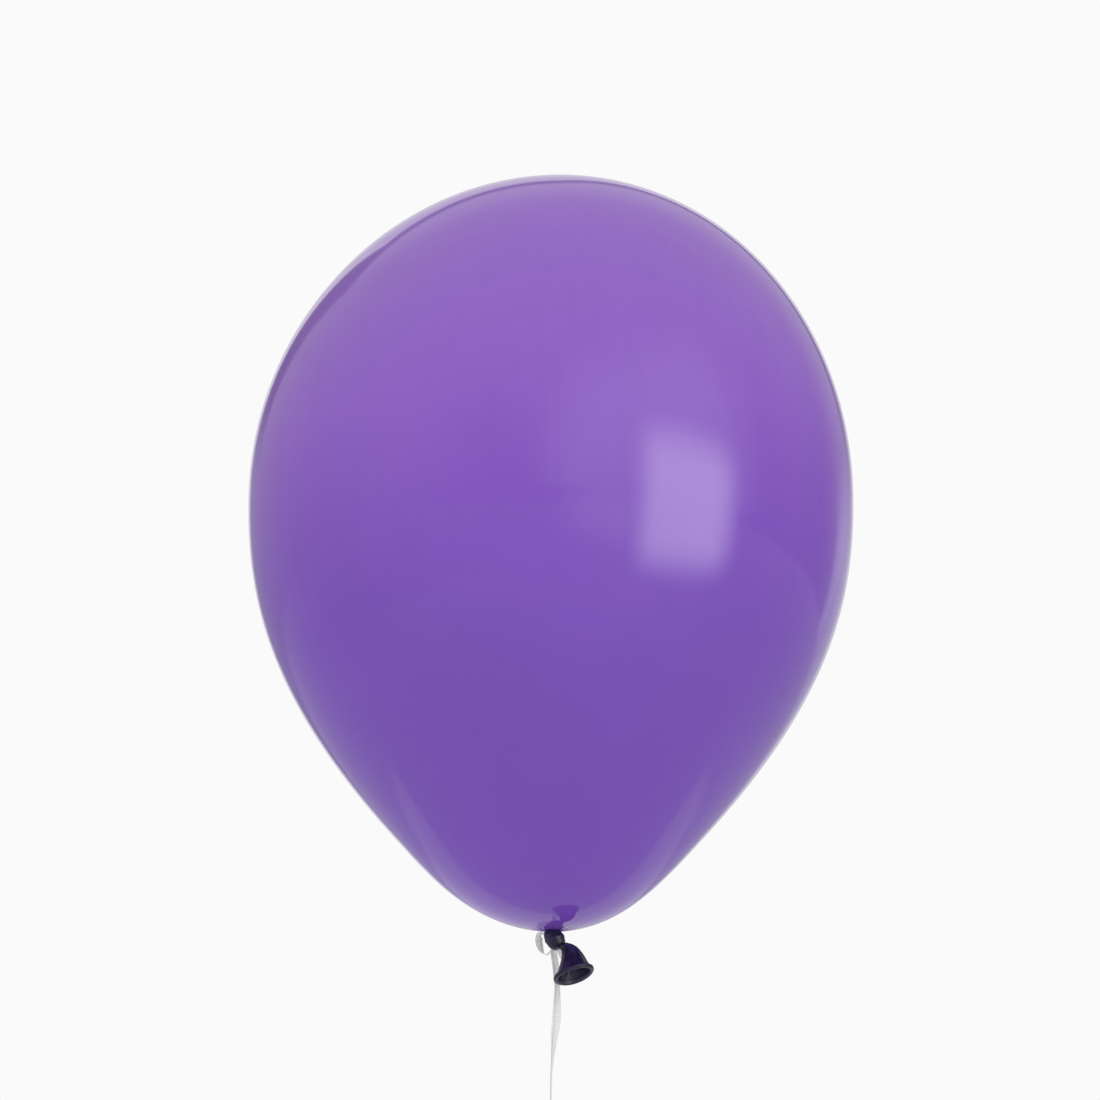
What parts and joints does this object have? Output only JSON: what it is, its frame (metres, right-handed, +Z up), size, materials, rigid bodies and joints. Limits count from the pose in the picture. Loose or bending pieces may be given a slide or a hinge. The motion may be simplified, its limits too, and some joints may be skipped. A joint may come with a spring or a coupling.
{
  "type": "latex balloon on ribbon",
  "caption": "Inflated teardrop latex balloon, tied off at a knotted neck with a flared mouth, held from below on a flat curling ribbon that ends in a hand loop.",
  "frame": {"origin": "inside of the hand loop at its lowest point, where a finger or a hook holds the ribbon", "axes": "+Z up along the taut ribbon to the balloon's crown, -Y towards the side where the knot and mouth show"},
  "size_m": [0.3, 0.3, 0.5248],
  "materials": {
    "stretched_latex": "glossy, slightly see-through, stretched",
    "slack_latex": "satin, opaque, unstretched",
    "ribbon_film": "translucent white, fine lengthwise ribs"
  },
  "bodies": {
    "root": {"balloon_skin": "stretched_latex", "neck_knot": "slack_latex", "mouth_funnel": "slack_latex", "ribbon_neck_tie": "ribbon_film", "ribbon_tie_knot": "ribbon_film", "ribbon_side_loop": "ribbon_film", "ribbon_tail": "ribbon_film", "ribbon_run": "ribbon_film", "hand_loop_knot": "ribbon_film", "hand_loop": "ribbon_film"}
  },
  "joints": []
}
